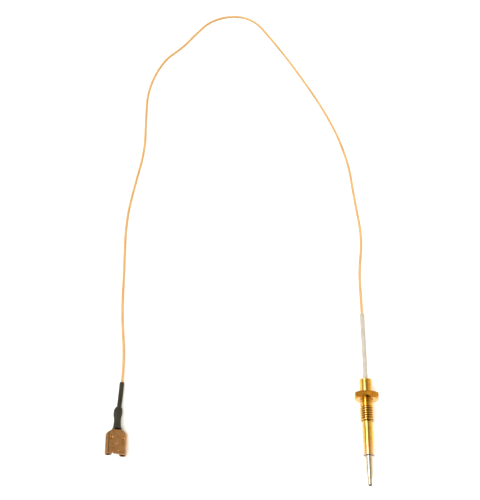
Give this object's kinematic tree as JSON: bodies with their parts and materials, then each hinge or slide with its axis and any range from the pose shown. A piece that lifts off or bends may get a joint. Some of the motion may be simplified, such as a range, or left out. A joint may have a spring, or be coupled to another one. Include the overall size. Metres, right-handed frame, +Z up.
{
  "type": "thermocouple",
  "caption": "Threaded brass hob thermocouple with a hexagon, a tapered steel tip and one thin insulated lead that ends in a female spade receptacle.",
  "frame": {"origin": "on the thread axis, in the plane of the hexagon's seat face, where the locating shank begins", "axes": "-Y along the thread axis towards the tip, +Y the way the lead leaves, +Z up: the lead lies level, just above the lowest corner of the hexagon"},
  "size_m": [0.1204, 0.2629, 0.0116],
  "materials": {
    "brass": "turned, bright",
    "steel": "drawn, slightly heat-tinted",
    "weld": "dark oxidised weld",
    "constantan": "drawn wire",
    "copper": "bright copper",
    "braze": "satin braze",
    "glass_fibre": "braided glass fibre",
    "ptfe": "moulded PTFE",
    "cement": "cast cement",
    "sleeve_white": "coated glass-fibre sleeve, off-white",
    "lead_orange": "satin orange-tan insulation",
    "shrink_black": "shrunk polyolefin, satin black",
    "bronze": "rolled copper alloy, satin"
  },
  "bodies": {
    "root": {"threaded_body": "brass", "rear_ferrule": "brass", "support_tube": "brass", "mouth_ring": "steel", "tip_sheath": "steel", "tip_weld": "weld", "core_wire": "constantan", "core_sleeve": "glass_fibre", "sheath_braze": "braze", "splice_ferrule": "copper", "insulating_bush": "ptfe", "end_potting": "cement", "white_sleeve": "sleeve_white", "lead_insulation": "lead_orange", "lead_conductor": "copper", "thin_heatshrink": "shrink_black", "wide_heatshrink": "shrink_black", "terminal": "bronze"}
  },
  "joints": []
}
